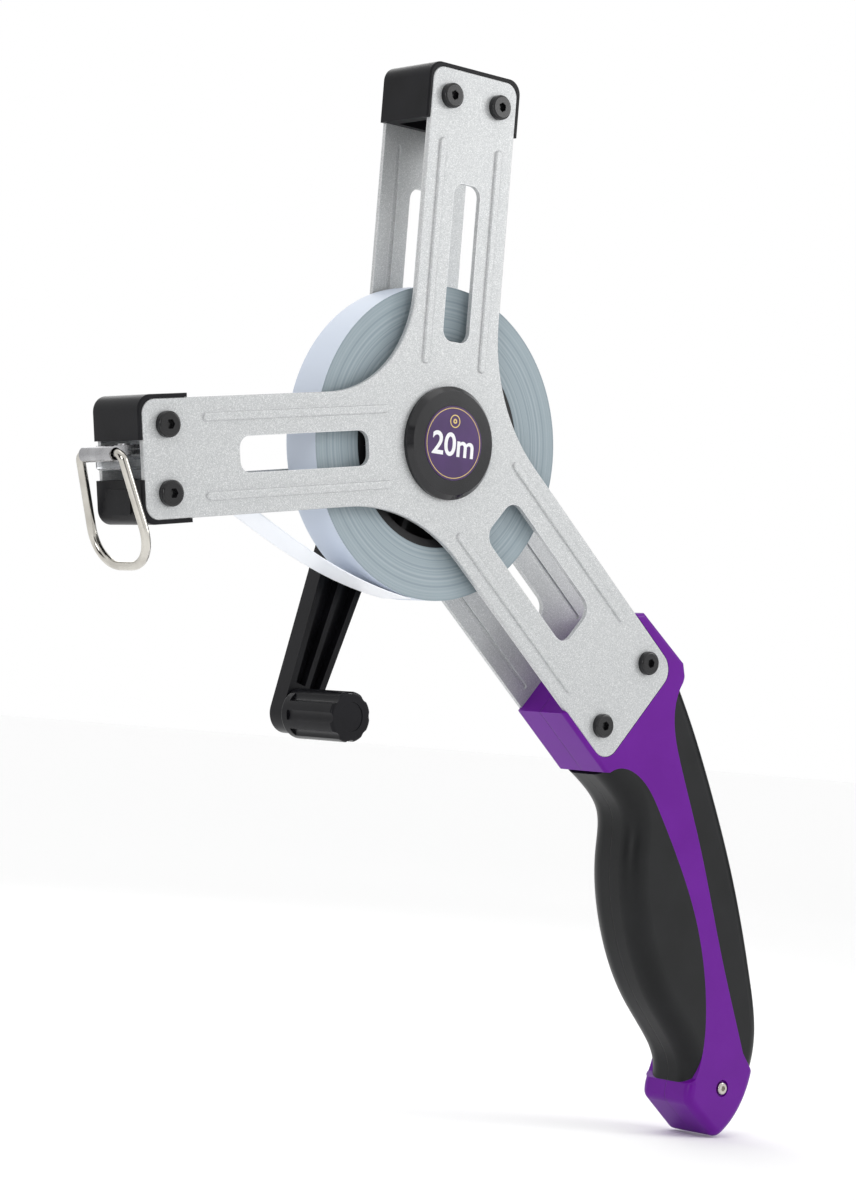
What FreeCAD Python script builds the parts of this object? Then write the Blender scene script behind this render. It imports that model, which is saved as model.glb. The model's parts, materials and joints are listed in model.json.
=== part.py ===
import FreeCAD, Part
import math
import os

os.makedirs("parts", exist_ok=True)
V = FreeCAD.Vector

# The reel's spool turns about the Y axis. The front plate's outer face is y = 0 and the back is +Y.
# The top arm points along +Z. Each arm is drawn along +X with its width along Z, then turned in place.

# Frame
DEPTH = 21.0             # over both plates
SHEET = 1.5              # plate thickness
TOP_DIR = 90.0
LEFT_DIR = 189.3
GRIP_DIR = 319.65
ARM_END = 107.0          # spool axis to the end of the top and left arms
ARM_HALF = 16.2
GRIP_ARM_END = 112.9     # the same for the arm that goes into the handle
GRIP_ARM_HALF = 20.2
ARM_CORNER = 4.3
GRIP_ARM_CORNER = 6.0
TOP_LEFT_BLEND = 33.0    # inside radius between the top and left arms
GRIP_BLEND = 52.0        # inside radius on both sides of the handle arm
EDGE_ROUND = 0.4
SLOT_START = 29.2
SLOT_END = 74.8
SLOT_HALF = 5.0
SLOT_CORNER = 3.3
GRIP_SLOT_HALF = 8.0
GRIP_SLOT_CORNER = 4.5
BEAD_START = 21.6
BEAD_SHORT = 20.2        # beads stop this far from the end of the top and left arms
GRIP_BEAD_SHORT = 26.1
BEAD_OFFSET = 10.7
GRIP_BEAD_OFFSET = 15.0
BEAD_WIDTH = 2.5
BEAD_HEIGHT = 0.6
BEAD_GROOVE = 1.6
BEAD_GROOVE_DEPTH = 0.45
HUB_HOLE = 9.1           # radius of the round hole in both plates

# Frame screws
SCREW_IN = 8.0           # screw centres, back from the ends of the top and left arms
SCREW_SPREAD = 9.2
GRIP_SCREW_IN = 9.9
GRIP_SCREW_SPREAD = 13.2
SCREW_R = 2.0
SCREW_HOLE_R = 2.2
SCREW_HEAD_R = 3.6
SCREW_HEAD_H = 1.9
SOCKET_ACROSS = 2.5
SOCKET_DEEP = 1.2
NUT_ACROSS = 7.0
NUT_H = 3.2
NUT_BORE_R = 2.03

# Arm end covers
COVER_WALL = 1.2         # how far a cover stands out past the plate's edge
COVER_LENGTH = 15.6
COVER_SHELL = 2.6
POST_R = 4.2
MOUTH_HALF = 5.3
PANEL_RAISE = 0.5
FIT_GAP = 0.05           # between a plate and what is moulded round it

# Spool
TAPE_WIDTH = 13.0
COIL_R = 45.3
CORE_R = 30.0
CORE_WALL = 2.2
CORE_WEB = 2.0
CORE_HUB_R = 8.2
CORE_HUB_LENGTH = 14.4
CORE_RIBS = 6
CORE_RIB = 1.6
TAPE_THICK = 0.25
WOUND_GAP = 0.02         # between pieces that are pushed on to each other
SPINDLE_R = 4.0
SPINDLE_START = -0.8
SPINDLE_PAST_BACK = 3.6
SPINDLE_FLAT = 0.9       # depth of the flat that drives the crank carrier
KEY_SIZE = 2.0
BUSH_R = 6.0
BUSH_RUN = 0.05
WASHER_R = 7.4
WASHER_THICK = 0.6
WASHER_PLAY = 0.25

# Hub cap and back bearing
CAP_R = 16.3
CAP_PROUD = 2.6
CAP_BEVEL = 1.4
LABEL_R = 10.7
LABEL_THICK = 0.5
LABEL_RECESS = 0.4
SPIGOT_DEPTH = 3.0
SPIGOT_GAP = 0.1
BEARING_FLANGE = 1.5

# Crank, stored folded in with its knob between the left arm and the handle
CRANK_DIR = 253.3
CRANK_REACH = 84.0
ARM_FACE = 6.5           # gap from the back plate to the crank arm
ARM_THICK = 6.0
ARM_ROOT_HALF = 10.4
KNUCKLE_WALL = 1.2       # ear material around the arm's round root
PIN_PROUD = 0.6          # hinge pin past each ear
ARM_TIP_R = 6.0
GROOVE_DEEP = 3.0
GROOVE_RIB = 1.7
GROOVE_BORDER = 2.0
GROOVE_START = 16.0
CARRIER_GAP = 0.4
CARRIER_R = 15.2
CARRIER_FLOOR = 2.0      # from the carrier's front to the head of its screw
EAR_GAP = 0.35
EAR_THICK = 3.2
HINGE_PIN_R = 1.6
HINGE_RUN = 0.05
ROOT_GAP = 0.5
RETAINER_HEAD_R = 2.8
RETAINER_HEAD_H = 1.5
RETAINER_R = 1.5
KNOB_R = 7.25
KNOB_LENGTH = 23.1
KNOB_GAP = 0.4
KNOB_FLUTES = 8
FLUTE_R = 2.2
FLUTE_DEEP = 0.75
KNOB_COLLAR = 3.0
KNOB_PIN_R = 2.5
KNOB_PIN_HEAD_R = 3.6
KNOB_PIN_HEAD_H = 1.2
KNOB_RUN = 0.05
PLUG_R = 4.25
PLUG_THICK = 1.6
PLUG_RECESS = 0.2

# Tape end
CLIP_ALONG = ARM_END + 6.5    # centre of the clip's tube, along the left arm
CLIP_LATERAL = -2.0
CLIP_R = 2.15
CLIP_WIDTH = 14.2
CLIP_WALL = 0.45
TAIL_THICK = 2.6
TAIL_LENGTH = 11.5
TAIL_WIDTH = 12.6
RIVET_R = 1.1
RIVET_HEAD_R = 1.9
SLEEVE_START = ARM_END - 8.0
SLEEVE_END = ARM_END + 3.6
SLEEVE_WALL = 0.7
SLEEVE_GAP = 0.3
SLEEVE_HEIGHT = 3.4
RING_WIRE_R = 1.3
RING_LEAN = 21.5         # how far the D-ring leans in from hanging straight down, degrees
RING_GAP = 0.4
RING_NECK = 9.6          # half widths of the ring, on its wire's centre line
RING_HALF = 13.2
RING_DROP = 30.9
RING_NECK_R = 2.2
RING_FOOT_R = 12.0

# Handle, drawn from the end of the handle arm: first number along the grip, second across it
GRIP_AXIS = 291.0
SOCKET_TOP = GRIP_ARM_END - 23.7   # start of the socket, along the handle arm
SOCKET_LEFT = 21.5
SOCKET_RIGHT_TOP = 23.4
SOCKET_RIGHT = 24.8
SOCKET_LENGTH = 25.5
SHELL_WALL = 2.4
RUBBER_THICK = 3.0
SHELL_EDGE = 1.3
BUTT_EDGE = 2.6
RUBBER_EDGE = 6.5
PALM_EDGE = 5.0
BUTT_SCREW = (122.7, 4.6)
BUTT_HEAD_R = 1.95
BUTT_SHANK_R = 1.2
BUTT_RECESS_R = 2.7
BUTT_RECESS = 0.9
BUTT_POST_R = 3.6
FINGER_SIDE = [(13.0, -17.6), (20.5, -12.5), (28.4, -9.6), (38.9, -12.8), (60.0, -17.4),
               (87.4, -14.2), (102.8, -8.2), (110.7, -6.4), (116.4, -8.0)]
FINGER_LINE = [(12.4, -16.4), (12.6, -11.6), (18.6, -4.1), (30.8, 0.6), (49.7, 4.8), (67.7, 7.1),
               (93.3, 4.9), (105.1, 1.2), (111.8, -2.4), (115.6, -5.4)]
PALM_SIDE = [(-2.0, 21.2), (11.6, 23.8), (30.0, 26.2), (62.0, 28.6), (95.0, 27.9),
             (114.7, 24.6), (123.9, 19.0)]
PALM_LINE = [(-4.6, 20.2), (-0.6, 16.4), (7.0, 13.4), (18.3, 12.9), (44.2, 14.5), (83.7, 14.9),
             (106.4, 15.8), (115.5, 16.2)]
BUTT_LIP = [(118.5, -9.4), (121.7, -10.4)]
BUTT_HEEL = (137.2, -1.6)
BUTT_SIDE = [(135.5, 5.3), (132.0, 11.4), (127.8, 16.0)]
HEEL_ROUND = 3.6

# Worked out from the values above
COIL_FRONT = (DEPTH - TAPE_WIDTH) / 2
MID = DEPTH / 2
BACK_FACE = DEPTH
CRANK_FRONT = BACK_FACE + ARM_FACE
CRANK_MID = CRANK_FRONT + ARM_THICK / 2
CARRIER_FRONT = BACK_FACE + BEARING_FLANGE + CARRIER_GAP
SPINDLE_END = BACK_FACE + SPINDLE_PAST_BACK
HINGE_HALF = ARM_ROOT_HALF + EAR_GAP + EAR_THICK


def polar(direction, along, lateral, y):
    a = math.radians(direction)
    x = along * math.cos(a) - lateral * math.sin(a)
    z = along * math.sin(a) + lateral * math.cos(a)
    return V(x, y, z)


def place(shape, direction):
    """Turn a shape drawn along +X so that it points in an arm's direction."""
    out = shape.copy()
    out.rotate(V(0, 0, 0), V(0, 1, 0), -direction)
    return out


def box(a0, a1, b0, b1, y0, y1):
    return Part.makeBox(a1 - a0, y1 - y0, b1 - b0, V(a0, y0, b0))


def rod(r, y0, y1, along=0.0, lateral=0.0):
    return Part.makeCylinder(r, y1 - y0, V(along, y0, lateral), V(0, 1, 0))


def ring(r_out, r_in, y0, y1):
    return rod(r_out, y0, y1).cut(rod(r_in, y0 - 1, y1 + 1))


def hexagon(across, y0, y1, along=0.0, lateral=0.0):
    r = across / math.sqrt(3)
    corners = []
    for i in range(7):
        a = math.radians(60 * i)
        corners.append(V(along + r * math.cos(a), y0, lateral + r * math.sin(a)))
    return Part.Face(Part.makePolygon(corners)).extrude(V(0, y1 - y0, 0))


def fillet(shape, r, wanted):
    edges = [e for e in shape.Edges if wanted(e)]
    return shape.makeFillet(r, edges)


def runs_deep(edge):
    """True for a straight edge that runs along Y."""
    b = edge.BoundBox
    return b.XLength < 1e-5 and b.ZLength < 1e-5


def lies_at(edge, y):
    b = edge.BoundBox
    return abs(b.YMin - y) < 1e-5 and abs(b.YMax - y) < 1e-5


def rounded_block(a0, a1, b0, b1, y0, y1, r, ends="both"):
    block = box(a0, a1, b0, b1, y0, y1)
    if ends == "both":
        return fillet(block, r, runs_deep)
    return fillet(block, r, lambda e: runs_deep(e) and e.CenterOfMass.x > (a0 + a1) / 2)


def save(shape, name):
    shape.exportStep("parts/" + name + ".step")


def fused(shapes):
    return shapes[0].multiFuse(shapes[1:]).removeSplitter()


# ---- Plates ----

def arms():
    """Each arm's direction, end, half width, corner and the offsets of what is on it."""
    side = dict(end=ARM_END, half=ARM_HALF, corner=ARM_CORNER, slot=SLOT_HALF,
                slot_corner=SLOT_CORNER, bead=BEAD_OFFSET, bead_end=ARM_END - BEAD_SHORT,
                screw=ARM_END - SCREW_IN, spread=SCREW_SPREAD)
    grip = dict(end=GRIP_ARM_END, half=GRIP_ARM_HALF, corner=GRIP_ARM_CORNER, slot=GRIP_SLOT_HALF,
                slot_corner=GRIP_SLOT_CORNER, bead=GRIP_BEAD_OFFSET,
                bead_end=GRIP_ARM_END - GRIP_BEAD_SHORT,
                screw=GRIP_ARM_END - GRIP_SCREW_IN, spread=GRIP_SCREW_SPREAD)
    return [(TOP_DIR, side), (LEFT_DIR, side), (GRIP_DIR, grip)]


def stadium(a0, a1, b, width, y0, y1):
    return rounded_block(a0, a1, b - width / 2, b + width / 2, y0, y1, width / 2 - 0.01)


def blank():
    """The plate's outline, SHEET thick, with the arms blended into each other."""
    parts = []
    for direction, arm in arms():
        strip = rounded_block(0, arm["end"], -arm["half"], arm["half"], 0, SHEET, arm["corner"], "far")
        parts.append(place(strip, direction))
    plate = fused(parts)
    between = (TOP_DIR + LEFT_DIR) / 2
    inner = [e for e in plate.Edges if runs_deep(e) and near_hub(e)]
    small = [e for e in inner if abs(bearing(e) - between) < 20]
    large = [e for e in inner if abs(bearing(e) - between) >= 20]
    plate = plate.makeFillet(GRIP_BLEND, large)
    places = [e.CenterOfMass for e in small]
    again = [e for e in plate.Edges
             if runs_deep(e) and any(e.CenterOfMass.distanceToPoint(c) < 0.01 for c in places)]
    return plate.makeFillet(TOP_LEFT_BLEND, again)


def near_hub(edge):
    c = edge.CenterOfMass
    return math.hypot(c.x, c.z) < ARM_END / 3


def bearing(edge):
    c = edge.CenterOfMass
    return math.degrees(math.atan2(c.z, c.x)) % 360


def front_plate():
    plate = blank()
    plate = fillet(plate, EDGE_ROUND, lambda e: lies_at(e, 0))
    for direction, arm in arms():
        beads = []
        cuts = [rounded_block(SLOT_START, SLOT_END, -arm["slot"], arm["slot"], -1, SHEET + 1,
                              arm["slot_corner"])]
        for side in (-1, 1):
            b = side * arm["bead"]
            bead = stadium(BEAD_START, arm["bead_end"], b, BEAD_WIDTH, -BEAD_HEIGHT, SHEET / 2)
            beads.append(fillet(bead, BEAD_HEIGHT * 0.8, lambda e: lies_at(e, -BEAD_HEIGHT)))
            cuts.append(stadium(BEAD_START + 0.5, arm["bead_end"] - 0.5, b, BEAD_GROOVE,
                                SHEET - BEAD_GROOVE_DEPTH, SHEET + 1))
            cuts.append(rod(SCREW_HOLE_R, -1, SHEET + 1, arm["screw"], side * arm["spread"]))
        plate = plate.fuse([place(b, direction) for b in beads])
        plate = plate.cut([place(c, direction) for c in cuts])
    return plate.cut(rod(HUB_HOLE, -1, SHEET + 1)).removeSplitter()


def flipped(shape):
    """The same shape on the other plate."""
    return shape.mirror(V(0, MID, 0), V(0, 1, 0))


front = front_plate()
save(front, "front_plate")
save(flipped(front), "back_plate")


# ---- Frame screws and nuts ----

def frame_screw(along, lateral):
    head = rod(SCREW_HEAD_R, -SCREW_HEAD_H, 0, along, lateral)
    head = fillet(head, SCREW_HEAD_H * 0.35, lambda e: lies_at(e, -SCREW_HEAD_H))
    head = head.cut(hexagon(SOCKET_ACROSS, -SCREW_HEAD_H - 1, -SCREW_HEAD_H + SOCKET_DEEP, along, lateral))
    shank = rod(SCREW_R, -SCREW_HEAD_H / 3, BACK_FACE + NUT_H - 0.4, along, lateral)
    return head.fuse(shank).removeSplitter()


def frame_nut(along, lateral):
    nut = hexagon(NUT_ACROSS, BACK_FACE, BACK_FACE + NUT_H, along, lateral)
    dome = rod(NUT_ACROSS / math.sqrt(3), BACK_FACE, BACK_FACE + NUT_H, along, lateral)
    dome = dome.makeChamfer(0.6, [e for e in dome.Edges if lies_at(e, BACK_FACE + NUT_H)])
    return nut.common(dome).cut(rod(NUT_BORE_R, BACK_FACE - 1, BACK_FACE + NUT_H + 1, along, lateral))


screws = []
nuts = []
for direction, arm in arms():
    for side in (-1, 1):
        screws.append(place(frame_screw(arm["screw"], side * arm["spread"]), direction))
        nuts.append(place(frame_nut(arm["screw"], side * arm["spread"]), direction))
save(Part.Compound(screws), "frame_screws")
save(Part.Compound(nuts), "frame_nuts")


# ---- Arm end covers ----

def plate_pocket(end, half, corner):
    """What the two plates take out of a piece moulded round the end of an arm."""
    a1 = end + FIT_GAP
    h = half + FIT_GAP
    near = rounded_block(0, a1, -h, h, -1, SHEET + FIT_GAP, corner, "far")
    far = rounded_block(0, a1, -h, h, DEPTH - SHEET - FIT_GAP, DEPTH + 1, corner, "far")
    return near.fuse(far)


def cover_body():
    half = ARM_HALF + COVER_WALL
    start = ARM_END + COVER_WALL - COVER_LENGTH - 1.0
    block = rounded_block(start, ARM_END + COVER_WALL, -half, half, 0, DEPTH, ARM_CORNER, "far")
    block = fillet(block, 0.5, lambda e: lies_at(e, 0) or lies_at(e, DEPTH))
    hollow = box(start - 1, ARM_END - COVER_SHELL, -ARM_HALF + COVER_SHELL, ARM_HALF - COVER_SHELL,
                 SHEET + COVER_SHELL, DEPTH - SHEET - COVER_SHELL)
    posts = []
    bores = []
    for side in (-1, 1):
        posts.append(rod(POST_R, SHEET + 1, DEPTH - SHEET - 1, ARM_END - SCREW_IN, side * SCREW_SPREAD))
        bores.append(rod(SCREW_HOLE_R, -1, DEPTH + 1, ARM_END - SCREW_IN, side * SCREW_SPREAD))
    block = block.cut(hollow).fuse(posts)
    return block.cut(bores + [plate_pocket(ARM_END, ARM_HALF, ARM_CORNER)]).removeSplitter()


cover = cover_body()
save(place(cover, TOP_DIR), "top_end_cover")


def mouth_block(side):
    """Half of the cover at the left arm's end: side -1 is the upper block and 1 the lower one."""
    far = 2 * ARM_HALF
    wall = SHEET + FIT_GAP
    edges = sorted((side * MOUTH_HALF, side * far))
    half = cover.common(box(0, 2 * ARM_END, edges[0], edges[1], -1, DEPTH + 1))
    lip = sorted((side * MOUTH_HALF, side * (MOUTH_HALF + COVER_SHELL * 0.6)))
    start = ARM_END + COVER_WALL - COVER_LENGTH - 1.0
    cheek = box(start, ARM_END, lip[0], lip[1], wall, DEPTH - wall)
    return half.fuse(cheek).removeSplitter()


upper = mouth_block(-1)
panel = rounded_block(-5.6, 5.6, MOUTH_HALF + 2.4, ARM_HALF - 1.6, 0, 1, 1.6)
panel.rotate(V(0, 0, 0), V(0, 0, 1), -90)
panel.translate(V(ARM_END + COVER_WALL - 1 + PANEL_RAISE, MID, 0))
lower = mouth_block(1).fuse(panel).removeSplitter()
save(place(upper, LEFT_DIR), "mouth_block_upper")
save(place(lower, LEFT_DIR), "mouth_block_lower")


# ---- Hub cap, label, bearings and spindle ----

def hub_cap():
    disc = rod(CAP_R, -CAP_PROUD, 0)
    disc = disc.makeChamfer(CAP_BEVEL, [e for e in disc.Edges if lies_at(e, -CAP_PROUD)])
    spigot = rod(HUB_HOLE - SPIGOT_GAP, -0.5, SPIGOT_DEPTH)
    bore = rod(BUSH_R, SPINDLE_START - 0.2, SPIGOT_DEPTH + 1)
    recess = rod(LABEL_R + 0.1, -CAP_PROUD - 1, -CAP_PROUD + LABEL_RECESS)
    return disc.fuse(spigot).cut([bore, recess]).removeSplitter()


save(hub_cap(), "hub_cap")
label = rod(LABEL_R, -CAP_PROUD + LABEL_RECESS - LABEL_THICK, -CAP_PROUD + LABEL_RECESS)
save(label, "hub_label")
bush_in = SPINDLE_R + BUSH_RUN
save(ring(BUSH_R - WOUND_GAP, bush_in, SPINDLE_START, SPIGOT_DEPTH), "front_bush")

flange = rod(CAP_R, BACK_FACE, BACK_FACE + BEARING_FLANGE)
flange = fillet(flange, 0.7, lambda e: lies_at(e, BACK_FACE + BEARING_FLANGE))
housing = flange.fuse(rod(HUB_HOLE - SPIGOT_GAP, BACK_FACE - SPIGOT_DEPTH, BACK_FACE + 0.5))
housing = housing.cut(rod(BUSH_R, 0, BACK_FACE + BEARING_FLANGE + 1)).removeSplitter()
save(housing, "back_bearing_housing")
save(ring(BUSH_R - WOUND_GAP, bush_in, BACK_FACE - SPIGOT_DEPTH, BACK_FACE + BEARING_FLANGE), "back_bush")

key = box(-KEY_SIZE / 2, KEY_SIZE / 2, SPINDLE_R - KEY_SIZE / 2, SPINDLE_R + KEY_SIZE / 2,
          MID - CORE_HUB_LENGTH / 2 + 1, MID + CORE_HUB_LENGTH / 2 - 1)
spindle = rod(SPINDLE_R, SPINDLE_START + 0.1, SPINDLE_END)
spindle = spindle.makeChamfer(0.4, [e for e in spindle.Edges if lies_at(e, SPINDLE_END)])
flat = place(box(-SPINDLE_R, SPINDLE_R, SPINDLE_R - SPINDLE_FLAT, SPINDLE_R + 1,
                 CARRIER_FRONT + 0.2, SPINDLE_END + 1), CRANK_DIR)
spindle = spindle.cut([key, flat, rod(RETAINER_R, SPINDLE_END - 9, SPINDLE_END + 1)])
save(spindle, "spindle")
save(key, "drive_key")

washers = []
for y0 in (SPIGOT_DEPTH + WASHER_PLAY, BACK_FACE - SPIGOT_DEPTH - WASHER_PLAY - WASHER_THICK):
    washers.append(ring(WASHER_R, SPINDLE_R + WOUND_GAP, y0, y0 + WASHER_THICK))


# ---- Spool ----

def spool_core():
    y0 = COIL_FRONT
    y1 = COIL_FRONT + TAPE_WIDTH
    rim = ring(CORE_R, CORE_R - CORE_WALL, y0, y1)
    web = ring(CORE_R - CORE_WALL / 2, CORE_HUB_R - 1, MID - CORE_WEB / 2, MID + CORE_WEB / 2)
    hub_half = MID - SPIGOT_DEPTH - WASHER_PLAY - WASHER_THICK - WOUND_GAP
    hub = rod(CORE_HUB_R, MID - hub_half, MID + hub_half)
    ribs = []
    for i in range(CORE_RIBS):
        rib = box(CORE_HUB_R - 1, CORE_R - CORE_WALL / 2, -CORE_RIB / 2, CORE_RIB / 2, y0 + 1.5, y1 - 1.5)
        ribs.append(place(rib, 360.0 / CORE_RIBS * i + 10))
    core = fused([rim, web, hub] + ribs)
    return core.cut([rod(SPINDLE_R + WOUND_GAP, -1, DEPTH + 1), key]).removeSplitter()


save(spool_core(), "spool_core")
save(ring(COIL_R, CORE_R + WOUND_GAP, COIL_FRONT, COIL_FRONT + TAPE_WIDTH), "tape_coil")
save(Part.Compound(washers), "thrust_washers")


# ---- Crank ----

def crank_carrier():
    """Clevis on the spindle's end; drawn with the crank arm along +X."""
    floor = CARRIER_FRONT + CARRIER_FLOOR
    top = CRANK_FRONT - ROOT_GAP
    knuckle_r = ARM_THICK / 2 + KNUCKLE_WALL
    boss = rod(CARRIER_R, CARRIER_FRONT, top)
    boss = fillet(boss, 0.8, lambda e: lies_at(e, CARRIER_FRONT))
    ears = []
    for side in (-1, 1):
        b = sorted((side * (ARM_ROOT_HALF + EAR_GAP), side * HINGE_HALF))
        web = box(-knuckle_r, knuckle_r, b[0], b[1], top - 2, CRANK_MID)
        knuckle = Part.makeCylinder(knuckle_r, b[1] - b[0], V(0, CRANK_MID, b[0]), V(0, 0, 1))
        ears += [web, knuckle]
    body = fused([boss] + ears)
    pin_hole = Part.makeCylinder(HINGE_PIN_R + WOUND_GAP, 2 * HINGE_HALF + 2,
                                 V(0, CRANK_MID, -HINGE_HALF - 1), V(0, 0, 1))
    bore = rod(SPINDLE_R + WOUND_GAP, CARRIER_FRONT - 1, SPINDLE_END + WOUND_GAP)
    key_flat = box(-SPINDLE_R, SPINDLE_R, SPINDLE_R - SPINDLE_FLAT + WOUND_GAP, SPINDLE_R + 1,
                   CARRIER_FRONT - 1, SPINDLE_END + 1)
    bore = bore.cut(key_flat)
    entry = rod(SPINDLE_R + WOUND_GAP, CARRIER_FRONT - 1, CARRIER_FRONT + 0.2)
    through = rod(RETAINER_R + 0.1, CARRIER_FRONT, top + 1)
    seat = rod(RETAINER_HEAD_R + 0.2, floor + 0.3, top + 1)
    return body.cut([pin_hole, bore, entry, through, seat]).removeSplitter()


def crank_arm():
    """Tapered bar with two grooves in its front face; drawn along +X from the hinge."""
    n = V(CRANK_REACH, CRANK_FRONT, 0)
    tip_a = math.asin((ARM_ROOT_HALF - ARM_TIP_R) / CRANK_REACH)
    tx = CRANK_REACH + ARM_TIP_R * math.sin(tip_a)
    tz = ARM_TIP_R * math.cos(tip_a)
    upper_root = V(0, CRANK_FRONT, ARM_ROOT_HALF)
    lower_root = V(0, CRANK_FRONT, -ARM_ROOT_HALF)
    upper_tip = V(tx, CRANK_FRONT, tz)
    lower_tip = V(tx, CRANK_FRONT, -tz)
    tip = Part.Arc(upper_tip, n + V(ARM_TIP_R, 0, 0), lower_tip).toShape()
    wire = Part.Wire([Part.makeLine(lower_root, upper_root), Part.makeLine(upper_root, upper_tip), tip,
                      Part.makeLine(lower_tip, lower_root)])
    bar = Part.Face(wire).extrude(V(0, ARM_THICK, 0))
    root = Part.makeCylinder(ARM_THICK / 2, 2 * ARM_ROOT_HALF, V(0, CRANK_MID, -ARM_ROOT_HALF), V(0, 0, 1))
    bar = bar.fuse(root).removeSplitter()
    slope = (ARM_ROOT_HALF - ARM_TIP_R) / CRANK_REACH
    grooves = []
    a1 = CRANK_REACH - KNOB_R - 0.6
    for side in (-1, 1):
        outer0 = ARM_ROOT_HALF - slope * GROOVE_START - GROOVE_BORDER
        outer1 = ARM_ROOT_HALF - slope * a1 - GROOVE_BORDER
        inner = GROOVE_RIB / 2
        corners = [(GROOVE_START, inner), (GROOVE_START, outer0), (a1, outer1), (a1, inner)]
        corners.append(corners[0])
        poly = Part.makePolygon([V(a, CRANK_FRONT - 1, side * b) for a, b in corners])
        grooves.append(Part.Face(poly).extrude(V(0, GROOVE_DEEP + 1, 0)))
    pin_hole = Part.makeCylinder(HINGE_PIN_R + HINGE_RUN, 2 * HINGE_HALF,
                                 V(0, CRANK_MID, -HINGE_HALF), V(0, 0, 1))
    knob_hole = rod(KNOB_PIN_R + WOUND_GAP, CRANK_FRONT - 1, CRANK_FRONT + ARM_THICK + 1, CRANK_REACH)
    head_seat = rod(KNOB_PIN_HEAD_R + 0.1, CRANK_FRONT + ARM_THICK - KNOB_PIN_HEAD_H,
                    CRANK_FRONT + ARM_THICK + 1, CRANK_REACH)
    return bar.cut(grooves + [pin_hole, knob_hole, head_seat]).removeSplitter()


def knob():
    y1 = CRANK_FRONT - KNOB_GAP
    y0 = y1 - KNOB_LENGTH
    body = rod(KNOB_R, y0, y1, CRANK_REACH)
    body = fillet(body, 0.9, lambda e: lies_at(e, y0) or lies_at(e, y1))
    flutes = []
    for i in range(KNOB_FLUTES):
        a = 2 * math.pi * (i + 0.5) / KNOB_FLUTES
        d = KNOB_R + FLUTE_R - FLUTE_DEEP
        x = CRANK_REACH + d * math.cos(a)
        z = d * math.sin(a)
        flute = rod(FLUTE_R, y0 - 1, y1 - KNOB_COLLAR, x, z)
        flutes.append(flute)
    bore = rod(KNOB_PIN_R + KNOB_RUN, y0 + PLUG_THICK, y1 + 1, CRANK_REACH)
    washer_seat = rod(KNOB_PIN_HEAD_R + 0.3, y0 - 1, y0 + PLUG_THICK + 2.6, CRANK_REACH)
    plug_seat = rod(PLUG_R + WOUND_GAP, y0 - 1, y0 + PLUG_RECESS + PLUG_THICK, CRANK_REACH)
    return body.cut(flutes + [bore, washer_seat, plug_seat]).removeSplitter()


def knob_pin():
    y1 = CRANK_FRONT + ARM_THICK
    y0 = CRANK_FRONT - KNOB_GAP - KNOB_LENGTH + PLUG_THICK + PLUG_RECESS + 0.4
    shank = rod(KNOB_PIN_R, y0, y1, CRANK_REACH)
    head = rod(KNOB_PIN_HEAD_R, y1 - KNOB_PIN_HEAD_H, y1, CRANK_REACH)
    tail = rod(KNOB_PIN_HEAD_R, y0, y0 + 1.6, CRANK_REACH)
    return fused([shank, head, tail])


knob_front = CRANK_FRONT - KNOB_GAP - KNOB_LENGTH
plug = rod(PLUG_R, knob_front + PLUG_RECESS, knob_front + PLUG_RECESS + PLUG_THICK, CRANK_REACH)
pin_half = HINGE_HALF + PIN_PROUD
hinge_pin = Part.makeCylinder(HINGE_PIN_R, 2 * pin_half, V(0, CRANK_MID, -pin_half), V(0, 0, 1))
save(place(crank_carrier(), CRANK_DIR), "crank_carrier")
save(place(crank_arm(), CRANK_DIR), "crank_arm")
save(place(hinge_pin, CRANK_DIR), "crank_hinge_pin")
save(place(knob(), CRANK_DIR), "crank_knob")
save(place(knob_pin(), CRANK_DIR), "knob_pin")
save(place(plug, CRANK_DIR), "knob_plug")

head_y = CARRIER_FRONT + CARRIER_FLOOR + 0.3
retainer = rod(RETAINER_HEAD_R, head_y, head_y + RETAINER_HEAD_H)
retainer = retainer.cut(hexagon(2.0, head_y + 0.5, head_y + 3))
retainer = retainer.fuse(rod(RETAINER_R - 0.02, SPINDLE_END - 8, head_y + 0.2)).removeSplitter()
save(retainer, "carrier_screw")


# ---- Tape end ----

def tape_strip():
    """The free stretch of tape, from the bottom of the coil to the clip in the mouth."""
    off = COIL_R + 0.35 + TAPE_THICK / 2
    leave = math.radians(263.0)
    start = V(off * math.cos(leave), COIL_FRONT, off * math.sin(leave))
    along = V(math.sin(leave), 0, -math.cos(leave))
    mouth_out = polar(LEFT_DIR, CLIP_ALONG - TAIL_LENGTH - 0.4, CLIP_LATERAL, COIL_FRONT)
    mouth_in = polar(LEFT_DIR, ARM_END - COVER_LENGTH, CLIP_LATERAL + 2.6, COIL_FRONT)
    dip = [V(-21.6, COIL_FRONT, -42.5), V(-37.0, COIL_FRONT, -37.8), V(-62.6, COIL_FRONT, -26.9)]
    curve = Part.BSplineCurve()
    curve.interpolate([start] + dip + [mouth_in, mouth_out],
                      InitialTangent=along, FinalTangent=polar(LEFT_DIR, 1, 0, 0))
    edge = curve.toShape()
    band = edge.extrude(V(0, TAPE_WIDTH, 0))
    return band.makeOffsetShape(TAPE_THICK, 0.001, fill=True)


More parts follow.
